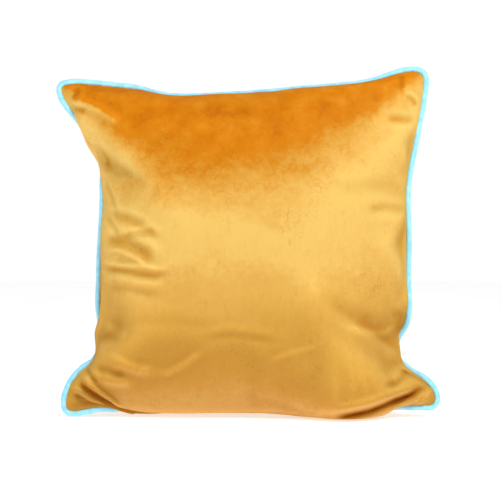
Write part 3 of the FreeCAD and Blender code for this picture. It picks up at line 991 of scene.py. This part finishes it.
FRONT_OVERHANGS = (
    Overhang((-186, 96), (30, 24), (-11, 0)),
    Overhang((-186, 320), (30, 20), (-6, -1)),
    Overhang((-200, 348), (26, 18), (-6, -4)),
    Overhang((-208, 362), (16, 14), (-4, 0)),
    Overhang((-186, 262), (30, 26), (4, 0)),
    Overhang((-186, 195), (30, 60), (0, 0)),
    Overhang((-186, 135), (30, 30), (-4, 0)),
    Overhang((190, 84), (30, 18), (6, 0)),
    Overhang((-20, 394), (90, 30), (0, 3)),
)
BACK_OVERHANGS = (
    Overhang((-10, 396), (130, 40), (0, -8)),
    Overhang((-186, 205), (30, 90), (8, 0)),
)


@dataclass(frozen=True)
class Crease:
    """A fold pressed into the cloth along a line, in millimetres across and up.
    It is a valley, and a ridge beside it on the left of the line's direction."""

    line: tuple[tuple[float, float], ...]
    valley: float
    ridge: float
    width: float
    apart: float = 1.6

    def press(self, sheet: np.ndarray) -> None:
        """Pushes the points of a front grid in and out.

        Args:
            sheet: grid of points in metres, changed in place.
        """
        path = np.array(self.line) * MM
        across = sheet[..., [0, 2]]
        nearest = np.full(across.shape[:2], 1e9)
        signed = np.zeros(across.shape[:2])
        share = np.zeros(across.shape[:2])
        lengths = np.linalg.norm(np.diff(path, axis=0), axis=1)
        total, run = lengths.sum(), 0.0
        for start, end, length in zip(path[:-1], path[1:], lengths):
            along = (end - start) / length
            offset = across - start
            t = np.clip(offset @ along, 0, length)
            away = offset - t[..., None] * along
            distance = np.linalg.norm(away, axis=-1)
            side = np.sign(along[0] * away[..., 1] - along[1] * away[..., 0])
            closer = distance < nearest
            nearest = np.where(closer, distance, nearest)
            signed = np.where(closer, distance * side, signed)
            share = np.where(closer, (run + t) / total, share)
            run += length
        width = self.width * MM
        fade = np.clip(np.minimum(share, 1 - share) * 4, 0, 1)
        fade = 0.15 + 0.85 * fade * fade * (3 - 2 * fade)
        valley = self.valley * np.exp(-((signed / width) ** 2))
        ridge = self.ridge * np.exp(-(((signed - self.apart * width) / width) ** 2))
        far = np.exp(-((nearest / (3.5 * width)) ** 2))
        sheet[..., 1] += (valley - ridge) * fade * far * MM


FRONT_CREASES = (
    # the top left ear's spine, the small fold at its tip, and the pinch under it
    Crease(((-218, 386), (-197, 383), (-176, 374), (-150, 356)), -4.5, 0.0, 7.0),
    Crease(((-216, 379), (-205, 377), (-196, 371)), 2.5, 0.0, 4.0),
    Crease(((-210, 404), (-207, 396), (-213, 388)), 2.6, 1.8, 4.0),
    Crease(((-186, 333), (-177, 325), (-170, 315), (-169, 304)), 2.6, 1.0, 3.5),
    Crease(((-168, 312), (-150, 294), (-130, 282), (-108, 272)), -4.0, 0.0, 11.0),
    # soft folds that run in from the left side
    Crease(((-175, 292), (-163, 266), (-158, 247)), 1.8, 1.0, 3.0),
    Crease(((-172, 246), (-162, 246), (-144, 242), (-130, 236), (-116, 226)), 2.6, 1.2, 6.0),
    Crease(((-172, 245), (-163, 234), (-154, 220)), 2.2, 1.0, 4.0),
    Crease(((-156, 218), (-134, 222), (-116, 225), (-102, 217)), 2.4, 1.0, 5.0),
    Crease(((-176, 209), (-160, 214), (-142, 212), (-123, 201), (-108, 187)), 4.4, 1.5, 8.5),
    Crease(((-172, 202), (-155, 204), (-138, 197), (-114, 184)), -2.6, 0.0, 3.5),
    Crease(((-162, 193), (-144, 189), (-124, 186)), 1.6, 0.0, 6.0),
    Crease(((-178, 188), (-150, 185), (-124, 184), (-100, 181)), -3.0, 0.0, 3.2),
    Crease(((-178, 182), (-150, 179), (-130, 174), (-112, 172), (-90, 176)), 3.0, 0.0, 5.5),
    Crease(((-170, 158), (-140, 156), (-100, 150)), 2.0, 1.0, 7.0),
    Crease(((-176, 112), (-160, 107), (-142, 101)), -3.4, 0.0, 9.0),
    # the bottom left ear's sharp folds
    Crease(((-203, 54), (-191, 40), (-173, 27), (-150, 9)), -8.0, 0.0, 2.8),
    Crease(((-214, 35), (-203, 33), (-190, 22), (-173, 15), (-154, 10)), -8.0, 0.0, 2.6),
    Crease(((-209, 47), (-191, 32), (-172, 21), (-155, 12)), 4.5, 0.0, 4.5),
    Crease(((-212, 30), (-203, 24), (-196, 20)), 2.5, 0.0, 2.5),
    Crease(((-197, 60), (-188, 50), (-180, 44)), 3.5, 1.5, 3.0),
    Crease(((-186, 60), (-166, 60), (-144, 54)), 3.4, 0.0, 6.0),
    Crease(((-172, 78), (-150, 68), (-130, 60), (-108, 58)), -3.5, 0.0, 7.0),
    Crease(((-112, 56), (-96, 58), (-76, 68), (-52, 84)), -2.0, 0.0, 4.0),
    Crease(((-178, 48), (-160, 45), (-140, 45)), -3.0, 0.0, 6.0),
    # the deep fold of the bottom right ear, with its narrow lip
    Crease(((92, 4), (115, 7), (145, 13), (170, 21), (195, 28), (218, 39)), 14.0, 7.0, 6.0, 1.8),
    Crease(((168, 12), (188, 17), (204, 24), (216, 32)), -4.5, 0.0, 2.8),
    Crease(((187, 62), (187, 50), (178, 42), (160, 44)), 4.5, 0.0, 6.0),
    Crease(((184, 60), (192, 54), (204, 49), (218, 40)), 4.5, 0.0, 3.0),
    Crease(((222, 33), (214, 22), (204, 16)), -3.5, 0.0, 2.6),
    # soft folds at the right side
    Crease(((120, 127), (138, 116), (160, 114)), -1.5, 0.0, 6.5),
    Crease(((110, 114), (138, 106), (165, 102), (186, 114)), -3.0, 0.0, 5.5),
    Crease(((185, 130), (172, 122)), 2.5, 0.0, 6.0),
    Crease(((192, 250), (165, 256), (140, 252)), 2.5, 1.0, 7.0),
    Crease(((205, 362), (185, 364), (165, 366)), 2.0, 1.0, 6.0),
    # small creases of the top right ear
    Crease(((187, 418), (186, 400)), 2.2, 1.0, 3.5),
    Crease(((191, 394), (199, 388), (206, 380)), 2.2, 1.0, 3.5),
    # shallow drag lines across the middle
    Crease(((-60, 98), (-20, 104), (40, 96)), 1.2, 0.8, 6.0),
    Crease(((20, 70), (50, 82), (85, 92)), -1.2, 0.0, 4.0),
    Crease(((-150, 118), (-90, 122), (-30, 112)), 1.2, 0.0, 9.0),
)


ZIP_ARC_RADIUS = 0.450
ZIP_UNDER_VELVET = 0.0015


@dataclass
class ZipArc:
    """The arc that the zip is sewn along, across the lower back."""

    height: float
    radius: float
    middle_y: float
    half_angle: float = math.radians(18.5)
    half_gap: float = 0.0034

    def surface(self, x: np.ndarray) -> np.ndarray:
        """Returns how far back the velvet's outside lies at each x."""
        return self.middle_y + np.sqrt(np.maximum(self.radius**2 - x**2, 0))

    def fit(self, back: np.ndarray) -> int:
        """Draws the back on to the zip.

        Args:
            back: the back's grid, changed in place.

        Returns:
            Number of the last row below the zip.
        """
        middle = back.shape[0] // 2
        rows = back[middle - 8 : middle + 9, :, 2].mean(0)
        below = int(np.searchsorted(rows, self.height)) - 1
        x = back[..., 0]
        columns = from_ends(back.shape[0])[:, None]
        near_x = (1 - smooth_step(np.abs(x), 0.150, 0.205)) * smooth_step(columns, 0, 26)
        order = np.arange(back.shape[1])[None, :]
        gap_open = 1 - smooth_step(np.abs(x), 0.142, 0.146)
        for row, way in ((below, -1), (below + 1, 1)):
            wanted = self.height + way * (0.0003 + (self.half_gap - 0.0003) * gap_open[:, row])
            shift = (wanted - back[:, row, 2]) * near_x[:, row]
            steps = (row - order) * -way
            reach = np.where(steps >= 0, np.exp(-((steps / 14.0) ** 2)), 0)
            back[..., 2] += shift[:, None] * reach
        off = np.abs(back[..., 2] - self.height)
        weight = (1 - smooth_step(off, 0.010, 0.075)) * near_x
        back[..., 1] += (self.surface(back[..., 0]) - back[..., 1]) * weight
        return below


@dataclass
class CoverPanels:
    """The velvet panels as sewn cloth, cut from the stuffed cover."""

    cover: StuffedCover
    zip_arc: ZipArc
    velvet: bpy.types.Material
    thick: float = 0.0013
    spread: int = 24
    # how deep a fold lies when its painted shade or painted highlight is full
    full_shade_depth: float = 0.0055

    def panel(self, name: str, grid: np.ndarray, node: str, way: int) -> bpy.types.Object:
        """Makes one panel from its grid of points.

        Args:
            name: the piece's name.
            grid: points of the outside, by column and row.
            node: the CAD node that it stands for.
            way: -1 if it faces the front, +1 if it faces the back.

        Returns:
            The panel.
        """
        columns, rows = grid.shape[:2]
        mesh = mesh_of(name, grid.reshape(-1, 3), grid_faces(columns, rows, way))
        # painted shade for fold valleys and painted highlight for ridges: how far each point lies
        # below or above the smoothed cloth
        fold_shading = ((grid - blurred(grid, self.spread)) * outward(grid, way)).sum(-1) / self.full_shade_depth
        inside = np.minimum(from_ends(columns)[:, None], from_ends(rows)[None, :])
        fold_shading *= smooth_step(inside, 0, 6)
        shading_attribute = mesh.attributes.new("fold_shade_and_highlight", "FLOAT", "POINT")
        shading_attribute.data.foreach_set("value", fold_shading.clip(-1, 1).ravel())
        piece = make_object(name, mesh, self.velvet)
        apply_modifier(piece, "SOLIDIFY", thickness=self.thick, offset=-1.0)
        declare(piece, "pillow", node)
        return piece

    def build(self) -> None:
        """Makes the front and both parts of the back."""
        below = self.zip_arc.fit(self.cover.back)
        back = self.cover.back
        self.panel("velvet_front", self.cover.front, "front_panel", -1)
        self.panel("velvet_back_upper", back[:, below + 1 :], "back_panel_upper", 1)
        self.panel("velvet_back_lower", back[:, : below + 1], "back_panel_lower", 1)


@dataclass
class CoilZip:
    """The zip's small parts: its coiled teeth, its rows of stitching, and its slider
    with the pull tab. The tapes and stops keep their solid shapes."""

    arc: ZipArc
    finishes: Finishes
    tooth_pitch: float = 0.00125
    tooth_size: tuple[float, float, float] = (0.00047, 0.00085, 0.00095)
    tooth_off: float = 0.0015
    tooth_depth: float = -0.0005
    coil_half_angle: float = math.radians(18.05)
    stitch_pitch: float = 0.0034
    stitch_size: tuple[float, float, float] = (0.00148, 0.00028, 0.00034)
    stitch_off: float = 0.0056
    stitch_depth: float = 0.0001
    stitch_half_angle: float = math.radians(18.2)
    metal_bevel: float = 0.00014

    def bead(self, size: tuple[float, float, float]) -> tuple[np.ndarray, np.ndarray]:
        """Models one tooth or stitch at the origin, its length along X.

        Args:
            size: half its length, depth and width.

        Returns:
            Its points and its four-cornered faces.
        """
        bpy.ops.object.select_all(action="DESELECT")
        bpy.ops.mesh.primitive_cube_add(size=2.0)
        shape = bpy.context.active_object
        apply_modifier(shape, "SUBSURF", levels=1, render_levels=1)
        points = np.array([v.co for v in shape.data.vertices])
        points = points / np.abs(points).max() * np.array(size)
        faces = np.array([list(p.vertices) for p in shape.data.polygons])
        bpy.data.meshes.remove(shape.data)
        return points, faces

    def row(
        self,
        name: str,
        size: tuple[float, float, float],
        angles: np.ndarray,
        place: tuple[float, float],
    ) -> bpy.types.Mesh:
        """Copies one bead along the zip.

        Args:
            name: the mesh's name.
            size: the bead's half sizes.
            angles: where the beads sit along the arc.
            place: how far out from the velvet's outside, and how far above the zip.

        Returns:
            The mesh of all beads.
        """
        points, faces = self.bead(size)
        along, out, up = points.T
        radius = self.arc.radius + place[0] + out
        all_points, all_faces = [], []
        for count, angle in enumerate(angles):
            turned = angle + along / self.arc.radius
            back = self.arc.middle_y + radius * np.cos(turned)
            height = self.arc.height + place[1] + up
            all_points.append(np.stack([radius * np.sin(turned), back, height], -1))
            all_faces.append(faces[:, ::-1] + count * len(points))
        return mesh_of(name, np.vstack(all_points), np.vstack(all_faces).tolist())

    def teeth_and_stitches(self) -> None:
        """Makes both coils and both rows of stitching."""
        step = self.tooth_pitch / self.arc.radius
        teeth = np.arange(-self.coil_half_angle, self.coil_half_angle, step)
        step = self.stitch_pitch / self.arc.radius
        stitches = np.arange(-self.stitch_half_angle, self.stitch_half_angle, step)
        for side, way in (("upper", 1), ("lower", -1)):
            shifted = teeth + (0.25 * way) * self.tooth_pitch / self.arc.radius
            place = (self.tooth_depth, way * self.tooth_off)
            mesh = self.row(f"teeth_{side}", self.tooth_size, shifted, place)
            coil = make_object(f"zip_teeth_{side}", mesh, self.finishes.nylon)
            declare(coil, "pillow", f"zip_coil_{side}")
            place = (self.stitch_depth, way * self.stitch_off)
            mesh = self.row(f"stitches_{side}", self.stitch_size, stitches, place)
            thread = make_object(f"zip_stitches_{side}", mesh, self.finishes.thread)
            declare(thread, "pillow", f"zip_stitching_{side}")

    def metal(self, frame: dict, node: str, body: str, slot: str) -> None:
        """Rounds the edges of a metal part, from a copy of its solid.

        Args:
            frame: the loaded frame.
            node: the CAD node.
            body: the body that it rides on.
            slot: not used.
        """
        piece = make_object(f"{node}_cast", frame["nodes"][node].data.copy(), self.finishes.metal)
        apply_modifier(piece, "WELD", merge_threshold=0.00001)
        apply_modifier(
            piece, "BEVEL", width=self.metal_bevel, segments=2, limit_method="ANGLE",
            angle_limit=math.radians(40),
        )
        pick_only(piece)
        bpy.ops.object.shade_smooth_by_angle(angle=math.radians(35))
        declare(piece, body, node)

    def build(self, frame: dict) -> None:
        """Makes every part.

        Args:
            frame: the loaded frame.
        """
        self.teeth_and_stitches()
        self.metal(frame, "zip_slider", "slider", "zip_slider_metal")
        self.metal(frame, "zip_pull_tab", "pull", "zip_slider_metal")


@dataclass
class Piping:
    """The corded edge: a bias-cut sleeve over a soft filler cord."""

    seam: EdgeSeam
    finishes: Finishes
    sleeve_radius: float = 0.0033
    cord_radius: float = 0.0021
    pucker: float = 0.0011
    pucker_length: float = 0.009
    thread_radius: float = 0.0003
    thread_inside: float = 0.0042
    middle_height: float = 0.21

    def tube(self, name: str, radius: float, material: bpy.types.Material) -> bpy.types.Object:
        """Makes a round tube along the seam."""
        curve = self.seam.curve(name)
        curve.data.bevel_depth = radius
        curve.data.bevel_resolution = 4
        curve.data.resolution_u = curve.data.render_resolution_u = 6
        bpy.context.view_layer.update()
        mesh = bpy.data.meshes.new_from_object(curve)
        bpy.data.objects.remove(curve)
        return make_object(name, mesh, material)

    def build(self) -> None:
        """Makes the sleeve, its cord and the thread of the edge seam."""
        sleeve = self.tube("piping_sleeve_cloth", self.sleeve_radius, self.finishes.piping)
        puckers = bpy.data.textures.new("puckers", "CLOUDS")
        puckers.noise_scale = self.pucker_length
        apply_modifier(
            sleeve, "DISPLACE", texture=puckers, texture_coords="LOCAL", strength=self.pucker,
            mid_level=0.5,
        )
        declare(sleeve, "pillow", "piping_sleeve")
        cord = self.tube("piping_filler_cord", self.cord_radius, self.finishes.cord)
        declare(cord, "pillow", "piping_cord")
        thread = self.tube("edge_seam_stitching", self.thread_radius, self.finishes.thread)
        points = np.array([v.co for v in thread.data.vertices])
        toward = np.array([0.0, 0.0, self.middle_height]) - points
        toward[:, 1] = 0
        toward /= np.linalg.norm(toward, axis=1, keepdims=True)
        points += toward * self.thread_inside
        thread.data.vertices.foreach_set("co", points.ravel())
        declare(thread, "pillow", "edge_seam_thread")


@dataclass
class Insert:
    """The stuffed insert inside the cover: cotton casing and fibre. A depth is how far
    a layer lies under the velvet's outside, a ring how many rows in its edge is."""

    cover: StuffedCover
    finishes: Finishes
    casing_depth: float = 0.0090
    casing_ring: int = 20
    casing_thick: float = 0.0007
    filling_depth: float = 0.0120
    filling_ring: int = 24
    rounds: int = 3
    core_height: float = 0.2
    pulls: int = 60
    pull: float = 0.03
    least_share: float = 0.6

    def layer(self, depth: float, ring: int) -> tuple[np.ndarray, np.ndarray]:
        """Front and back grids of a layer inside the cover.

        Args:
            depth: how far under the velvet's outside, in metres.
            ring: how many rows in from the seam its edge lies.

        Returns:
            The layer's front and back points, which share their edges.
        """
        sheets = [self.cover.front, self.cover.back]
        count = sheets[0].shape[0]
        points = np.vstack([sheet.reshape(-1, 3) for sheet in sheets])
        faces = grid_faces(count, count, -1) + grid_faces(count, count, 1, count * count)
        wall = BVHTree.FromPolygons(points.tolist(), faces)
        cut = slice(ring, count - ring, 4)
        front, back = (sheet[cut, cut].copy() for sheet in sheets)
        middle = (front + back) / 2
        for grid in (front, back):
            for edge in GRID_EDGES:
                grid[edge] = middle[edge]
        for _ in range(self.rounds):
            for grid in (front, back):
                inner = grid[1:-1, 1:-1]
                around = (grid[:-2, 1:-1] + grid[2:, 1:-1] + grid[1:-1, :-2] + grid[1:-1, 2:]) / 4
                grid[1:-1, 1:-1] = (inner + around) / 2
                flat = grid.reshape(-1, 3)
                for i, place in enumerate(flat):
                    where, normal, _, _ = wall.find_nearest(Vector(place))
                    if (Vector(place) - where).dot(normal) > -depth:
                        flat[i] = where - normal * depth
        # a point too near the velvet, or outside it, is drawn towards the insert's core
        core = Vector((0.0, 0.0, self.core_height))
        for grid in (front, back):
            flat = grid.reshape(-1, 3)
            for i, place in enumerate(flat):
                point = Vector(place)
                for _ in range(self.pulls):
                    gap = (point - wall.find_nearest(point)[0]).length
                    if gap > self.least_share * depth and self.is_inside(wall, point):
                        break
                    point = point.lerp(core, self.pull)
                flat[i] = point
        return front, back

    def is_inside(self, wall: BVHTree, point: Vector) -> bool:
        """Says whether a point is inside the closed cover.

        Args:
            wall: the cover's faces.
            point: the point.

        Returns:
            True if a line from the point crosses the cover an odd number of times.
        """
        start, crossings = point.copy(), 0
        way = Vector((0.011, 1.0, 0.017)).normalized()
        while (where := wall.ray_cast(start, way)[0]) is not None:
            crossings += 1
            start = where + way * 0.00001
        return crossings % 2 == 1

    def shell(self, name: str, grids: list[np.ndarray], ways: list[int]) -> bpy.types.Mesh:
        """Joins grids into one mesh.

        Args:
            name: the mesh's name.
            grids: the grids.
            ways: -1 for each grid that faces the front, 1 for the back.

        Returns:
            The mesh.
        """
        points, faces, base = [], [], 0
        for grid, way in zip(grids, ways):
            columns, rows = grid.shape[:2]
            faces += grid_faces(columns, rows, way, base)
            points.append(grid.reshape(-1, 3))
            base += columns * rows
        return mesh_of(name, np.vstack(points), faces)

    def build(self) -> None:
        """Makes the casing's two halves and the filling."""
        front, back = self.layer(self.casing_depth, self.casing_ring)
        for name, node, grid, way in (
            ("insert_cotton_front", "insert_casing_front", front, -1),
            ("insert_cotton_back", "insert_casing_back", back, 1),
        ):
            piece = make_object(name, self.shell(name, [grid], [way]), self.finishes.cotton)
            apply_modifier(piece, "SOLIDIFY", thickness=self.casing_thick, offset=-1.0)
            declare(piece, "pillow", node)
        halves = list(self.layer(self.filling_depth, self.filling_ring))
        mesh = self.shell("insert_fibre", halves, [-1, 1])
        filling = make_object("insert_fibre", mesh, self.finishes.fibre)
        apply_modifier(filling, "WELD", merge_threshold=0.05 * MM)
        declare(filling, "pillow", "insert_filling")


@dataclass
class Studio:
    """Pale floor, soft light and the camera."""

    distance: float = 1.85
    aim: tuple[float, float] = (0.0023, 0.204)
    view_width: float = 0.610
    room: float = 0.5
    key: float = 38.0
    fill: float = 7.0
    floor_glow: float = 0.48

    def floor(self) -> None:
        """Lays the floor."""
        bpy.ops.object.select_all(action="DESELECT")
        bpy.ops.mesh.primitive_plane_add(size=16.0)
        plane = bpy.context.active_object
        plane.name = "studio_floor"
        material, tree, shader = new_material("white paper, matt")
        place = add_node(tree, "TexCoord").outputs["Object"]
        grain = add_node(
            tree, "TexNoise", inputs={"Vector": place, "Scale": 3.0, "Detail": 2.0}
        )
        ramp = add_node(tree, "ValToRGB", inputs={"Fac": grain.outputs["Fac"]})
        set_ramp(ramp, [(0.3, "fbfbfb"), (0.7, "ffffff")])
        tree.links.new(ramp.outputs["Color"], shader.inputs["Base Color"])
        shader.inputs["Roughness"].default_value = 0.95
        shader.inputs["Specular IOR Level"].default_value = 0.0
        shader.inputs["Emission Color"].default_value = (1, 1, 1, 1)
        shader.inputs["Emission Strength"].default_value = self.floor_glow
        plane.data.materials.append(material)

    def lamp(self, name: str, place: tuple[float, float, float], size: float, power: float) -> None:
        """Hangs one soft lamp that points at the pillow."""
        data = bpy.data.lights.new(name, "AREA")
        data.shape = "DISK"
        data.size = size
        data.energy = power
        lamp = bpy.data.objects.new(name, data)
        lamp.location = place
        aim = Vector((0, 0, 0.2)) - Vector(place)
        lamp.rotation_euler = aim.to_track_quat("-Z", "Y").to_euler()
        bpy.context.scene.collection.objects.link(lamp)

    def build(self) -> None:
        """Sets the floor, the light and the camera."""
        self.floor()
        world = bpy.data.worlds.new("white room")
        world.use_nodes = True
        tree = world.node_tree
        air = tree.nodes["Background"]
        air.inputs["Color"].default_value = (1, 1, 1, 1)
        ray = add_node(tree, "LightPath")
        strength = add_node(
            tree, "MapRange",
            inputs={"Value": ray.outputs["Is Camera Ray"], "To Min": self.room, "To Max": 1.0},
        )
        tree.links.new(strength.outputs[0], air.inputs["Strength"])
        scene = bpy.context.scene
        scene.world = world
        scene.view_settings.view_transform = "Standard"
        self.lamp("key_light", (0.8, -1.5, 2.0), 0.8, self.key)
        self.lamp("fill_light", (-1.4, -1.8, 0.9), 1.4, self.fill)
        data = bpy.data.cameras.new("camera")
        data.sensor_width = 36.0
        data.lens = data.sensor_width * self.distance / self.view_width
        camera = bpy.data.objects.new("camera", data)
        camera.location = (self.aim[0], -self.distance, self.aim[1])
        camera.rotation_euler = (math.radians(90), 0, 0)
        scene.collection.objects.link(camera)
        scene.camera = camera


def main() -> None:
    """Builds the pillow's pieces in order."""
    logging.basicConfig(level=logging.INFO, format="%(message)s")
    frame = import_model()
    Studio().build()
    finishes = Finishes()
    seam = EdgeSeam()
    seam.trace()
    cover = StuffedCover(seam)
    cover.blow_up()
    cover.settle()
    tape_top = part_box("zip_tape_upper")
    tape_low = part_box("zip_tape_lower")
    height = (tape_top[0].z + tape_low[1].z) / 2
    middle_y = tape_top[1].y + ZIP_UNDER_VELVET - ZIP_ARC_RADIUS
    zip_arc = ZipArc(height=height, radius=ZIP_ARC_RADIUS, middle_y=middle_y)
    CoverPanels(cover, zip_arc, finishes.velvet).build()
    Piping(seam, finishes).build()
    CoilZip(zip_arc, finishes).build(frame)
    Insert(cover, finishes).build()
    for node, material in (
        ("zip_tape_upper", finishes.tape),
        ("zip_tape_lower", finishes.tape),
        ("zip_top_stop_upper", finishes.nylon),
        ("zip_top_stop_lower", finishes.nylon),
        ("zip_bottom_stop", finishes.nylon),
    ):
        for place in frame["nodes"][node].material_slots:
            place.material = material


if __name__ == "__main__":
    main()
